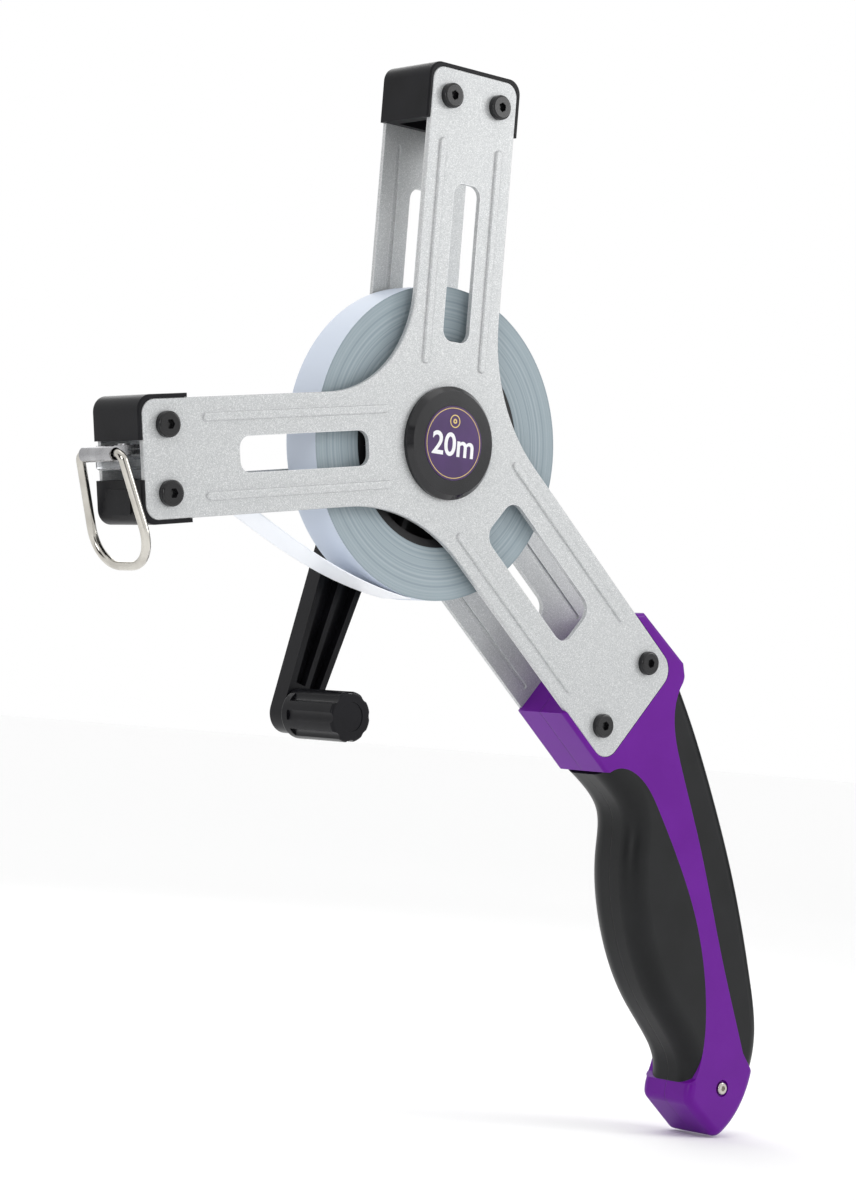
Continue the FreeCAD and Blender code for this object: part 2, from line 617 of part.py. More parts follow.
def end_clip():
    """Rolled steel tube with a flat tail that reaches into the mouth."""
    y0 = MID - CLIP_WIDTH / 2
    tube = rod(CLIP_R, y0, y0 + CLIP_WIDTH, CLIP_ALONG, CLIP_LATERAL)
    t0 = MID - TAIL_WIDTH / 2
    tail = box(CLIP_ALONG - TAIL_LENGTH, CLIP_ALONG, CLIP_LATERAL - CLIP_R,
               CLIP_LATERAL - CLIP_R + TAIL_THICK, t0, t0 + TAIL_WIDTH)
    slit = box(CLIP_ALONG - TAIL_LENGTH - 1, CLIP_ALONG - TAIL_LENGTH + 7, CLIP_LATERAL - CLIP_R + 1.0,
               CLIP_LATERAL - CLIP_R + 1.0 + TAPE_THICK + 0.1, 0, DEPTH)
    bore = rod(CLIP_R - CLIP_WALL, -1, DEPTH + 1, CLIP_ALONG, CLIP_LATERAL)
    rivet_hole = Part.makeCylinder(RIVET_R + WOUND_GAP, 10,
                                   V(CLIP_ALONG - 8, MID, CLIP_LATERAL - 5), V(0, 0, 1))
    return tube.fuse(tail).cut([slit, bore, rivet_hole]).removeSplitter()


def clip_rivet():
    b0 = CLIP_LATERAL - CLIP_R
    a = CLIP_ALONG - 8
    shank = Part.makeCylinder(RIVET_R, TAIL_THICK, V(a, MID, b0), V(0, 0, 1))
    heads = [Part.makeCylinder(RIVET_HEAD_R, 0.4, V(a, MID, b0 - 0.4), V(0, 0, 1)),
             Part.makeCylinder(RIVET_HEAD_R, 0.4, V(a, MID, b0 + TAIL_THICK), V(0, 0, 1))]
    return fused([shank] + heads)


def clear_sleeve():
    """Folded clear strip below the clip's tail, open towards the reel."""
    b0 = CLIP_LATERAL - CLIP_R + TAIL_THICK + 0.4 + SLEEVE_GAP
    y0 = MID - TAPE_WIDTH / 2
    outer = box(SLEEVE_START, SLEEVE_END, b0, b0 + SLEEVE_HEIGHT, y0, y0 + TAPE_WIDTH)
    bend = [e for e in outer.Edges if abs(e.CenterOfMass.x - SLEEVE_END) < 1e-6
            and abs(e.CenterOfMass.y - MID) < 1e-6]
    outer = outer.makeFillet(SLEEVE_HEIGHT * 0.4, bend)
    inner = box(SLEEVE_START - 1, SLEEVE_END - SLEEVE_WALL, b0 + SLEEVE_WALL,
                b0 + SLEEVE_HEIGHT - SLEEVE_WALL, y0 - 1, y0 + TAPE_WIDTH + 1)
    return outer.cut(inner)


def bent_path(points, radii):
    """Edges of an open path through points, with each inner corner rounded."""
    edges = []
    start = points[0]
    for before, corner, after, r in zip(points, points[1:], points[2:], radii):
        u = (before - corner).normalize()
        v = (after - corner).normalize()
        half = u.getAngle(v) / 2
        reach = r / math.tan(half)
        middle = corner + (u + v).normalize() * (r / math.sin(half) - r)
        edges += [Part.makeLine(start, corner + u * reach)]
        edges += [Part.Arc(corner + u * reach, middle, corner + v * reach).toShape()]
        start = corner + v * reach
    return edges + [Part.makeLine(start, points[-1])]


def hook_ring():
    """D-ring of round wire, open where its two ends meet inside the clip's tube."""
    lean = math.radians(-90.0 + RING_LEAN)
    centre = polar(LEFT_DIR, CLIP_ALONG, CLIP_LATERAL, MID)
    half = [(RING_GAP / 2, 0.0), (RING_NECK, 0.0), (RING_HALF, RING_DROP)]
    full = half + [(-y, d) for y, d in reversed(half)]
    pts = [centre + V(d * math.cos(lean), y, d * math.sin(lean)) for y, d in full]
    path = Part.Wire(bent_path(pts, [RING_NECK_R, RING_FOOT_R, RING_FOOT_R, RING_NECK_R]))
    profile = Part.Wire([Part.makeCircle(RING_WIRE_R, pts[0], V(0, 1, 0))])
    return path.makePipeShell([profile], True, True)


save(tape_strip(), "tape_strip")
save(place(end_clip(), LEFT_DIR), "tape_end_clip")
save(place(clip_rivet(), LEFT_DIR), "clip_rivet")
save(place(clear_sleeve(), LEFT_DIR), "clear_sleeve")
save(hook_ring(), "hook_ring")


# ---- Handle ----

def grip(point, y=0.0, inset=0.0):
    """A point given along and across the grip; inset moves it towards the grip's middle."""
    p, q = point
    q = q - inset if q > 0 else q + inset
    a = math.radians(GRIP_AXIS)
    end = polar(GRIP_DIR, GRIP_ARM_END, 0, 0)
    return V(end.x + p * math.cos(a) - q * math.sin(a), y, end.z + p * math.sin(a) + q * math.cos(a))


def spline(points):
    curve = Part.BSplineCurve()
    curve.interpolate(points)
    return curve.toShape()


def prism(edges, y0, y1):
    face = Part.Face(Part.Wire(Part.__sortEdges__(edges)))
    face.translate(V(0, y0, 0))
    return face.extrude(V(0, y1 - y0, 0))


def lines(points):
    return [Part.makeLine(a, b) for a, b in zip(points, points[1:])]


def rubber(side, line, edge_r, mid_point):
    """Rubber pad between the grip's outer side and the line where it meets the shell."""
    outer = [grip(p) for p in side]
    inner = [grip(p) for p in line]
    edges = [spline(outer), spline(inner)] + lines([outer[0], inner[0]]) + lines([outer[-1], inner[-1]])
    pad = prism(edges, 0, MID)
    face = [e for e in pad.Edges if lies_at(e, 0) and e.distToShape(Part.Vertex(grip(mid_point)))[0] < 0.5]
    return pad.makeFillet(edge_r, face)


def under_rubber(side, line, trim0, trim1):
    """The hard shell's stepped-down part that a rubber pad is moulded over."""
    outer = [grip(p, 0, RUBBER_THICK) for p in side[trim0:trim1]]
    inner = [grip(p) for p in line]
    edges = [spline(outer), spline(inner)] + lines([outer[0], inner[0]]) + lines([outer[-1], inner[-1]])
    return prism(edges, RUBBER_THICK, MID)


def socket_outline(y=0.0):
    return [polar(GRIP_DIR, SOCKET_TOP, -SOCKET_LEFT, y),
            polar(GRIP_DIR, SOCKET_TOP, SOCKET_RIGHT_TOP - 2.6, y),
            polar(GRIP_DIR, SOCKET_TOP + 2.4, SOCKET_RIGHT_TOP, y),
            polar(GRIP_DIR, SOCKET_TOP + SOCKET_LENGTH, SOCKET_RIGHT, y),
            polar(GRIP_DIR, SOCKET_TOP + SOCKET_LENGTH + 2.6, SOCKET_RIGHT - 1.8, y)]


def shell_half():
    """Front half of the hard shell: the socket, the strip between the pads and the butt."""
    left = polar(GRIP_DIR, SOCKET_TOP + SOCKET_LENGTH, -SOCKET_LEFT, 0)
    finger = [grip(p) for p in FINGER_LINE]
    finger_end = grip(FINGER_SIDE[-1])
    palm = [grip(p) for p in PALM_LINE]
    palm_end = grip(PALM_SIDE[-1])
    socket = socket_outline()
    heel = grip(BUTT_HEEL)
    lip = spline([finger_end] + [grip(p) for p in BUTT_LIP])
    sole = Part.makeLine(grip(BUTT_LIP[-1]), heel)
    side = spline([heel] + [grip(p) for p in BUTT_SIDE] + [palm_end])
    edges = lines(socket + [palm[0]]) + [spline(palm)] + lines([palm[-1], palm_end]) + [side, sole, lip]
    edges += lines([finger_end, finger[-1]]) + [spline(finger)] + lines([finger[0], left, socket[0]])
    body = prism(edges, 0, MID)
    corners = (heel, grip(BUTT_LIP[-1]))
    in_plan = lambda e, c: math.hypot(e.CenterOfMass.x - c.x, e.CenterOfMass.z - c.z)
    at_corner = lambda e: any(in_plan(e, c) < 0.5 for c in corners)
    body = fillet(body, HEEL_ROUND, lambda e: runs_deep(e) and at_corner(e))
    upper = lines(socket) + lines([left, socket[0]])
    body = fillet(body, SHELL_EDGE, lambda e: lies_at(e, 0) and any(same_edge(e, o) for o in upper))
    low = grip(BUTT_LIP[-1]).z + 2
    in_butt = lambda e: e.BoundBox.ZMin < low - 4 and e.CenterOfMass.z < low
    return fillet(body, BUTT_EDGE, lambda e: lies_at(e, 0) and in_butt(e))


def same_edge(a, b):
    return a.CenterOfMass.distanceToPoint(b.CenterOfMass) < 0.01


def grip_hollow():
    """The space inside the front half's grip, down to the seam."""
    wall = RUBBER_THICK + SHELL_WALL
    outer = [grip(p, 0, wall) for p in FINGER_SIDE[2:-1]]
    inner = [grip(p, 0, wall) for p in PALM_SIDE[2:-1]]
    edges = [spline(outer), spline(inner)] + lines([outer[0], inner[0]]) + lines([outer[-1], inner[-1]])
    return prism(edges, wall, MID + 1)


def socket_hollow():
    w = SHELL_WALL
    inner = box(SOCKET_TOP + w, GRIP_ARM_END - 1.5, -SOCKET_LEFT + w, SOCKET_LEFT - w, SHEET + w, MID + 1)
    along = GRIP_ARM_END - GRIP_SCREW_IN
    posts = [rod(POST_R, 0, DEPTH, along, side * GRIP_SCREW_SPREAD) for side in (-1, 1)]
    return place(inner.cut(posts), GRIP_DIR)


def socket_bores():
    a = GRIP_ARM_END - GRIP_SCREW_IN
    bores = [rod(SCREW_HOLE_R, -1, DEPTH + 1, a, side * GRIP_SCREW_SPREAD) for side in (-1, 1)]
    return place(bores[0].fuse(bores[1]), GRIP_DIR)


finger_pad = rubber(FINGER_SIDE, FINGER_LINE, RUBBER_EDGE, FINGER_SIDE[4])
palm_pad = rubber(PALM_SIDE, PALM_LINE, PALM_EDGE, PALM_SIDE[3])
finger_base = under_rubber(FINGER_SIDE, FINGER_LINE, 1, -1)
palm_base = under_rubber(PALM_SIDE, PALM_LINE, 1, -1)
shell = shell_half().fuse([finger_base, palm_base]).removeSplitter()
shell = shell.cut([grip_hollow(), socket_hollow(), socket_bores()])
shell = shell.cut(place(plate_pocket(GRIP_ARM_END, GRIP_ARM_HALF, GRIP_ARM_CORNER), GRIP_DIR))
butt = grip(BUTT_SCREW)
post = rod(BUTT_POST_R, BUTT_RECESS, MID, butt.x, butt.z)
shell = shell.fuse(post)
back_shell = flipped(shell)
shell = shell.cut([rod(BUTT_RECESS_R, -1, BUTT_RECESS, butt.x, butt.z),
                   rod(BUTT_SHANK_R + 0.15, -1, MID + 1, butt.x, butt.z)]).removeSplitter()
nut_y = DEPTH - BUTT_RECESS - 2.4
back_shell = back_shell.cut([hexagon(5.0 + 2 * FIT_GAP, nut_y, DEPTH + 1, butt.x, butt.z),
                             rod(BUTT_SHANK_R + 0.15, MID - 1, DEPTH, butt.x, butt.z)]).removeSplitter()
save(shell, "handle_shell_front")
save(back_shell, "handle_shell_back")

finger_pad = finger_pad.cut(finger_base).removeSplitter()
palm_pad = palm_pad.cut(palm_base).removeSplitter()
save(finger_pad, "finger_grip_front")
save(flipped(finger_pad), "finger_grip_back")
save(palm_pad, "palm_grip_front")
save(flipped(palm_pad), "palm_grip_back")

head = rod(BUTT_HEAD_R, BUTT_RECESS - 1.3, BUTT_RECESS, butt.x, butt.z)
head = fillet(head, 0.5, lambda e: lies_at(e, BUTT_RECESS - 1.3))
head = head.cut(hexagon(1.6, BUTT_RECESS - 2, BUTT_RECESS - 0.6, butt.x, butt.z))
butt_screw = head.fuse(rod(BUTT_SHANK_R, BUTT_RECESS - 0.4, nut_y + 2.2, butt.x, butt.z)).removeSplitter()
butt_nut = hexagon(5.0, nut_y, nut_y + 2.0, butt.x, butt.z)
butt_nut = butt_nut.cut(rod(BUTT_SHANK_R + 0.02, nut_y - 1, nut_y + 3, butt.x, butt.z))
save(butt_screw, "butt_screw")
save(butt_nut, "butt_nut")
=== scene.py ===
import bpy
import json
import math
from mathutils import Matrix, Vector


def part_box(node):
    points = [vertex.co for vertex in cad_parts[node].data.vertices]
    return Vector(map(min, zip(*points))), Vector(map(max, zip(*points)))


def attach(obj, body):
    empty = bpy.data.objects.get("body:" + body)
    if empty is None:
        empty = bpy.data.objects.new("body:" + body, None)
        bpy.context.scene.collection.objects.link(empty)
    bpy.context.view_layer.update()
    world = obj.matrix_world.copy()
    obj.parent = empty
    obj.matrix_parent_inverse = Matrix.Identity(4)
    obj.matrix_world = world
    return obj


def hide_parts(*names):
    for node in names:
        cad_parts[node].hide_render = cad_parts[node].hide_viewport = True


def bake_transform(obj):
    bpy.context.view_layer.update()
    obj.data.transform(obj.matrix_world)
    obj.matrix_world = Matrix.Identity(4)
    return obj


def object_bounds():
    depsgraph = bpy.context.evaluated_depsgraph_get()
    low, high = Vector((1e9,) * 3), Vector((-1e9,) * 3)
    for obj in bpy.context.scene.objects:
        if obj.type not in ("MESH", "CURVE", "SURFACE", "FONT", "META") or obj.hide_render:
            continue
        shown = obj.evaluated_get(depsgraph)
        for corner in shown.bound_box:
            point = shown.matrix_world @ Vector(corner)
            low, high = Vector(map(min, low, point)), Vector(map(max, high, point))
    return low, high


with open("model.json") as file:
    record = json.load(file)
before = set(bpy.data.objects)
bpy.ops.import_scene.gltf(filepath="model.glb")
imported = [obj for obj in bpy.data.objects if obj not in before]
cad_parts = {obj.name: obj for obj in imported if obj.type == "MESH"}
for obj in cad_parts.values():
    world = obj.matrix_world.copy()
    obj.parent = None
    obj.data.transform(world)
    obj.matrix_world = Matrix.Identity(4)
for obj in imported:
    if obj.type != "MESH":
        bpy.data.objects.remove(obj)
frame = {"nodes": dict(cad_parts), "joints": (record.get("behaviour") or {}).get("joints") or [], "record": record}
cadBox = [list(corner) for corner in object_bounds()]
nodes = frame["nodes"]
print("frame loaded:", len(nodes), "nodes")

# half way through the reel, and how near two points of a mesh count as one
reelMiddle = 0.0105
samePoint = 0.000001

view = {
    "place": (-0.5995, -0.6916, -0.0849),
    "yaw": -40.8,
    "pitch": 2.48,
    "roll": 4.6,
    "lens": 96.05,
}


def addCamera():
    cam = bpy.data.cameras.new("camera")
    cam.lens = view["lens"]
    cam.sensor_width = 36
    cam.clip_start = 0.02
    obj = bpy.data.objects.new("camera", cam)
    bpy.context.scene.collection.objects.link(obj)
    turn = Matrix.Rotation(math.radians(view["yaw"]), 4, "Z")
    turn = turn @ Matrix.Rotation(math.radians(90 + view["pitch"]), 4, "X")
    turn = turn @ Matrix.Rotation(math.radians(view["roll"]), 4, "Z")
    obj.matrix_world = Matrix.Translation(view["place"]) @ turn
    bpy.context.scene.camera = obj


lights = {
    # name: (place, aimed at, size, power)
    "keyRight": ((0.6, -0.45, 0.25), (0, 0, 0.02), 0.3, 1.3),
    "fillLeft": ((-0.8, -0.35, 0.1), (0, 0, -0.08), 0.3, 1.3),
    "rimBack": ((0.35, 0.8, 0.5), (0, 0, 0), 0.6, 1.6),
    "top": ((0.0, 0.0, 0.9), (0, 0, 0), 0.7, 1.2),
}


def addLights():
    for name, (place, aim, size, power) in lights.items():
        light = bpy.data.lights.new(name, "AREA")
        light.size = size
        light.energy = power
        obj = bpy.data.objects.new(name, light)
        obj.location = place
        obj.rotation_euler = (Vector(aim) - Vector(place)).to_track_quat("-Z", "Y").to_euler()
        bpy.context.scene.collection.objects.link(obj)
    world = bpy.data.worlds.new("paleStudio")
    world.use_nodes = True
    world.node_tree.nodes["Background"].inputs["Color"].default_value = (1, 1, 1, 1)
    world.node_tree.nodes["Background"].inputs["Strength"].default_value = 1.0
    bpy.context.scene.world = world
    bpy.context.scene.view_settings.view_transform = "Standard"


def freshStart():
    if bpy.context.object and bpy.context.object.mode != "OBJECT":
        bpy.ops.object.mode_set(mode="OBJECT")
    bpy.ops.object.select_all(action="DESELECT")
    bpy.context.scene.tool_settings.mesh_select_mode = (True, False, False)


def stageMaterial(name, colour, rough):
    mat = bpy.data.materials.new(name)
    mat.use_nodes = True
    shader = mat.node_tree.nodes["Principled BSDF"]
    shader.inputs["Base Color"].default_value = (*colour, 1)
    shader.inputs["Roughness"].default_value = rough
    return mat


floorPlane = {
    "size": 60,
    "below": 0.0005,
    "colour": (0.97, 0.97, 0.97),
    "rough": 0.85,
}


def addFloor():
    freshStart()
    place = (0, 0, cadBox[0][2] - floorPlane["below"])
    bpy.ops.mesh.primitive_plane_add(size=floorPlane["size"], location=place)
    floor = bpy.context.object
    floor.name = "floor"
    floor.data.materials.append(stageMaterial("paleFloor", floorPlane["colour"], floorPlane["rough"]))


flags = {
    # name: (place, aimed at, width, height)
    "flagLeft": ((-1.25, -0.1, 0.0), (0, 0, 0), 0.9, 1.2),
    "flagRight": ((1.2, 0.0, 0.0), (0, 0, 0), 0.8, 1.2),
    "flagCamera": ((-0.95, -1.35, 0.1), (0, 0, 0), 0.9, 1.1),
}
flagCloth = {"colour": (0.02, 0.02, 0.022), "rough": 0.9}


def addFlags():
    # dark cloth panels out of the view, which give metal and gloss something to reflect
    mat = stageMaterial("darkCloth", flagCloth["colour"], flagCloth["rough"])
    for name, (place, aim, width, height) in flags.items():
        freshStart()
        turn = (Vector(aim) - Vector(place)).to_track_quat("-Z", "Y").to_euler()
        bpy.ops.mesh.primitive_plane_add(size=1, location=place, rotation=turn)
        panel = bpy.context.object
        panel.name = name
        panel.scale = (width, height, 1)
        panel.data.materials.append(mat)


addCamera()
addLights()
addFloor()
addFlags()
print("studio ready")


def newGroup(name, inputs, outputs):
    tree = bpy.data.node_groups.new(name, "ShaderNodeTree")
    for label, value in inputs:
        socket = tree.interface.new_socket(name=label, in_out="INPUT", socket_type="NodeSocketFloat")
        socket.default_value = value
    for label in outputs:
        tree.interface.new_socket(name=label, in_out="OUTPUT", socket_type="NodeSocketFloat")
    return tree, tree.nodes.new("NodeGroupInput"), tree.nodes.new("NodeGroupOutput")


def mathNode(tree, operation, a, b=None, clamp=False):
    node = tree.nodes.new("ShaderNodeMath")
    node.operation = operation
    node.use_clamp = clamp
    for socket, value in ((node.inputs[0], a), (node.inputs[1], b)):
        if value is None:
            continue
        if isinstance(value, (int, float)):
            socket.default_value = value
        else:
            tree.links.new(value, socket)
    return node.outputs[0]


def makeGrain():
    # fine moulded or sprayed texture, with a slower unevenness under it
    tree, gi, go = newGroup("surfaceGrain", [("Scale", 1500), ("Patch Scale", 60)], ["Grain", "Patches"])
    coord = tree.nodes.new("ShaderNodeTexCoord")
    fine = tree.nodes.new("ShaderNodeTexNoise")
    fine.inputs["Detail"].default_value = 3
    slow = tree.nodes.new("ShaderNodeTexNoise")
    slow.inputs["Detail"].default_value = 2
    for noise, label in ((fine, "Scale"), (slow, "Patch Scale")):
        tree.links.new(coord.outputs["Object"], noise.inputs["Vector"])
        tree.links.new(gi.outputs[label], noise.inputs["Scale"])
    tree.links.new(fine.outputs[0], go.inputs["Grain"])
    tree.links.new(slow.outputs[0], go.inputs["Patches"])
    return tree


edgeBevel = {"samples": 4, "radius": 0.0005, "gain": 5.0}


def makeEdgeWear():
    # light along rounded-off edges, broken up by noise
    tree, gi, go = newGroup("edgeWear", [("Amount", 1.0), ("Break Up", 400)], ["Mask"])
    bevel = tree.nodes.new("ShaderNodeBevel")
    bevel.samples = edgeBevel["samples"]
    bevel.inputs["Radius"].default_value = edgeBevel["radius"]
    geometry = tree.nodes.new("ShaderNodeNewGeometry")
    dot = tree.nodes.new("ShaderNodeVectorMath")
    dot.operation = "DOT_PRODUCT"
    tree.links.new(bevel.outputs[0], dot.inputs[0])
    tree.links.new(geometry.outputs["Normal"], dot.inputs[1])
    edge = mathNode(tree, "SUBTRACT", 1.0, dot.outputs["Value"], True)
    coord = tree.nodes.new("ShaderNodeTexCoord")
    noise = tree.nodes.new("ShaderNodeTexNoise")
    tree.links.new(coord.outputs["Object"], noise.inputs["Vector"])
    tree.links.new(gi.outputs["Break Up"], noise.inputs["Scale"])
    strong = mathNode(tree, "MULTIPLY", edge, edgeBevel["gain"], True)
    broken = mathNode(tree, "MULTIPLY", strong, noise.outputs[0])
    mask = mathNode(tree, "MULTIPLY", broken, gi.outputs["Amount"], True)
    tree.links.new(mask, go.inputs["Mask"])
    return tree


def makeRings():
    # fine circles round the spool's axis: turns of tape, or a lathe's marks
    tree, gi, go = newGroup("rings", [("Pitch", 0.0004), ("Unevenness", 0.5)], ["Height", "Tone"])
    coord = tree.nodes.new("ShaderNodeTexCoord")
    split = tree.nodes.new("ShaderNodeSeparateXYZ")
    tree.links.new(coord.outputs["Object"], split.inputs[0])
    xx = mathNode(tree, "MULTIPLY", split.outputs["X"], split.outputs["X"])
    zz = mathNode(tree, "MULTIPLY", split.outputs["Z"], split.outputs["Z"])
    radius = mathNode(tree, "SQRT", mathNode(tree, "ADD", xx, zz))
    turns = mathNode(tree, "DIVIDE", radius, gi.outputs["Pitch"])
    wave = mathNode(tree, "SINE", mathNode(tree, "MULTIPLY", turns, 2 * math.pi))
    tone = tree.nodes.new("ShaderNodeTexNoise")
    tone.noise_dimensions = "1D"
    tone.inputs["Scale"].default_value = 0.35
    tone.inputs["Detail"].default_value = 4
    tree.links.new(turns, tone.inputs["W"])
    uneven = mathNode(tree, "MULTIPLY", tone.outputs[0], gi.outputs["Unevenness"])
    tree.links.new(mathNode(tree, "ADD", mathNode(tree, "MULTIPLY", wave, 0.5), uneven), go.inputs["Height"])
    tree.links.new(tone.outputs[0], go.inputs["Tone"])
    return tree


def makeSeam():
    # the line where the front and back mouldings meet, half way through the reel
    tree, gi, go = newGroup("partingSeam", [("Middle", reelMiddle), ("Half Width", 0.00014)], ["Mask"])
    coord = tree.nodes.new("ShaderNodeTexCoord")
    split = tree.nodes.new("ShaderNodeSeparateXYZ")
    tree.links.new(coord.outputs["Object"], split.inputs[0])
    away = mathNode(tree, "ABSOLUTE", mathNode(tree, "SUBTRACT", split.outputs["Y"], gi.outputs["Middle"]))
    share = mathNode(tree, "DIVIDE", away, gi.outputs["Half Width"])
    tree.links.new(mathNode(tree, "SUBTRACT", 1.0, share, True), go.inputs["Mask"])
    return tree


seamGroup = makeSeam()
grainGroup = makeGrain()
wearGroup = makeEdgeWear()
ringGroup = makeRings()


class Finish:
    def __init__(self, name, colour, rough, metal=0.0, **plain):
        self.mat = bpy.data.materials.new(name)
        self.mat.use_nodes = True
        self.tree = self.mat.node_tree
        self.shader = self.tree.nodes["Principled BSDF"]
        self.shader.inputs["Base Color"].default_value = (*colour, 1)
        self.shader.inputs["Roughness"].default_value = rough
        self.shader.inputs["Metallic"].default_value = metal
        for label, value in plain.items():
            self.shader.inputs[label.replace("_", " ")].default_value = value

    def group(self, tree, **values):
        node = self.tree.nodes.new("ShaderNodeGroup")
        node.node_tree = tree
        for label, value in values.items():
            node.inputs[label.replace("_", " ")].default_value = value
        return node

    def ramp(self, source, stops):
        node = self.tree.nodes.new("ShaderNodeValToRGB")
        while len(node.color_ramp.elements) < len(stops):
            node.color_ramp.elements.new(0.5)
        for element, (place, colour) in zip(node.color_ramp.elements, stops):
            element.position = place
            element.color = (*colour, 1)
        self.tree.links.new(source, node.inputs[0])
        return node.outputs["Color"]

    def mix(self, mask, a, b):
        node = self.tree.nodes.new("ShaderNodeMix")
        node.data_type = "RGBA"
        self.tree.links.new(mask, node.inputs[0])
        for socket, value in ((node.inputs[6], a), (node.inputs[7], b)):
            if isinstance(value, tuple):
                socket.default_value = (*value, 1)
            else:
                self.tree.links.new(value, socket)
        return node.outputs[2]

    def span(self, source, low, high):
        node = self.tree.nodes.new("ShaderNodeMapRange")
        node.inputs["To Min"].default_value = low
        node.inputs["To Max"].default_value = high
        self.tree.links.new(source, node.inputs["Value"])
        return node.outputs[0]

    def paint(self, colour):
        self.tree.links.new(colour, self.shader.inputs["Base Color"])

    def rough(self, source):
        self.tree.links.new(source, self.shader.inputs["Roughness"])

    def bump(self, source, depth, strength=1.0):
        node = self.tree.nodes.new("ShaderNodeBump")
        node.inputs["Distance"].default_value = depth
        node.inputs["Strength"].default_value = strength
        self.tree.links.new(source, node.inputs["Height"])
        if self.shader.inputs["Normal"].links:
            self.tree.links.new(self.shader.inputs["Normal"].links[0].from_socket, node.inputs["Normal"])
        self.tree.links.new(node.outputs[0], self.shader.inputs["Normal"])

    def wear(self, base, worn, amount):
        edge = self.group(wearGroup, Amount=amount)
        return self.mix(edge.outputs["Mask"], base, worn)


def sparkleCoat():
    f = Finish("sparkleCoat", (0.52, 0.53, 0.54), 0.45, 0.3)
    grain = f.group(grainGroup, Scale=4200, Patch_Scale=90)
    coord = f.tree.nodes.new("ShaderNodeTexCoord")
    flake = f.tree.nodes.new("ShaderNodeTexVoronoi")
    flake.inputs["Scale"].default_value = 5200
    f.tree.links.new(coord.outputs["Object"], flake.inputs["Vector"])
    stops = [(0.1, (0.4, 0.415, 0.42)), (0.6, (0.5, 0.51, 0.515)), (0.92, (0.68, 0.69, 0.69))]
    tone = f.ramp(flake.outputs["Color"], stops)
    f.paint(f.wear(tone, (0.86, 0.87, 0.88), 0.9))
    f.rough(f.span(grain.outputs["Grain"], 0.32, 0.52))
    f.bump(grain.outputs["Grain"], 0.00003, 0.5)
    f.bump(flake.outputs["Distance"], 0.00002, 0.4)
    return f.mat


def mouldedPlastic(name, dark, light, rough, scale, depth, seam=False, **plain):
    f = Finish(name, dark, rough, **plain)
    grain = f.group(grainGroup, Scale=scale, Patch_Scale=70)
    tone = f.ramp(grain.outputs["Patches"], [(0.35, dark), (0.7, light)])
    worn = tuple(min(1, 1.7 * c + 0.006) for c in light)
    colour = f.wear(tone, worn, 0.6)
    if seam:
        line = f.group(seamGroup)
        colour = f.mix(line.outputs["Mask"], colour, tuple(0.15 * c for c in dark))
        f.bump(mathNode(f.tree, "SUBTRACT", 1.0, line.outputs["Mask"]), 0.0002, 0.6)
    f.paint(colour)
    f.rough(f.span(grain.outputs["Patches"], rough - 0.05, rough + 0.06))
    f.bump(grain.outputs["Grain"], depth, 0.6)
    return f.mat


def turnedMetal(name, dark, light, rough, pitch=0.0002):
    f = Finish(name, light, rough, 1.0)
    grain = f.group(grainGroup, Scale=900, Patch_Scale=250)
    rings = f.group(ringGroup, Pitch=pitch, Unevenness=0.6)
    f.paint(f.wear(f.ramp(grain.outputs["Patches"], [(0.3, dark), (0.7, light)]), light, 0.7))
    f.rough(f.span(grain.outputs["Grain"], rough - 0.07, rough + 0.1))
    f.bump(rings.outputs["Height"], 0.00001, 0.4)
    return f.mat


def woundTape():
    f = Finish("woundTape", (0.42, 0.5, 0.54), 0.5)
    grain = f.group(grainGroup, Scale=1600, Patch_Scale=45)
    rings = f.group(ringGroup, Pitch=0.00026, Unevenness=0.8)
    stops = [(0.3, (0.24, 0.3, 0.335)), (0.5, (0.3, 0.365, 0.4)), (0.72, (0.36, 0.425, 0.46))]
    edges = f.ramp(rings.outputs["Tone"], stops)
    # the face of the tape is paler than its cut edges
    geometry = f.tree.nodes.new("ShaderNodeNewGeometry")
    split = f.tree.nodes.new("ShaderNodeSeparateXYZ")
    f.tree.links.new(geometry.outputs["Normal"], split.inputs[0])
    side = mathNode(f.tree, "ABSOLUTE", split.outputs["Y"])
    f.paint(f.mix(side, (0.6, 0.66, 0.76), edges))
    f.rough(f.span(grain.outputs["Grain"], 0.4, 0.6))
    f.bump(rings.outputs["Height"], 0.00008, 0.5)
    return f.mat


def freeTape():
    f = Finish("freeTape", (0.86, 0.89, 0.94), 0.42)
    grain = f.group(grainGroup, Scale=2200, Patch_Scale=35)
    f.paint(f.ramp(grain.outputs["Patches"], [(0.3, (0.82, 0.86, 0.92)), (0.7, (0.9, 0.92, 0.96))]))
    f.bump(grain.outputs["Grain"], 0.00002, 0.4)
    return f.mat


def polishedSteel():
    f = Finish("polishedSteel", (0.78, 0.76, 0.72), 0.14, 1.0)
    grain = f.group(grainGroup, Scale=700, Patch_Scale=160)
    f.paint(f.ramp(grain.outputs["Patches"], [(0.3, (0.46, 0.44, 0.4)), (0.7, (0.62, 0.6, 0.55))]))
    f.rough(f.span(grain.outputs["Patches"], 0.1, 0.24))
    f.bump(grain.outputs["Grain"], 0.00001, 0.3)
    return f.mat


def clearFilm():
    f = Finish("clearFilm", (0.93, 0.95, 0.98), 0.12, Transmission_Weight=0.9, IOR=1.46)
    grain = f.group(grainGroup, Scale=500, Patch_Scale=220)
    f.rough(f.span(grain.outputs["Patches"], 0.05, 0.3))
    f.bump(grain.outputs["Patches"], 0.0006, 0.7)
    return f.mat


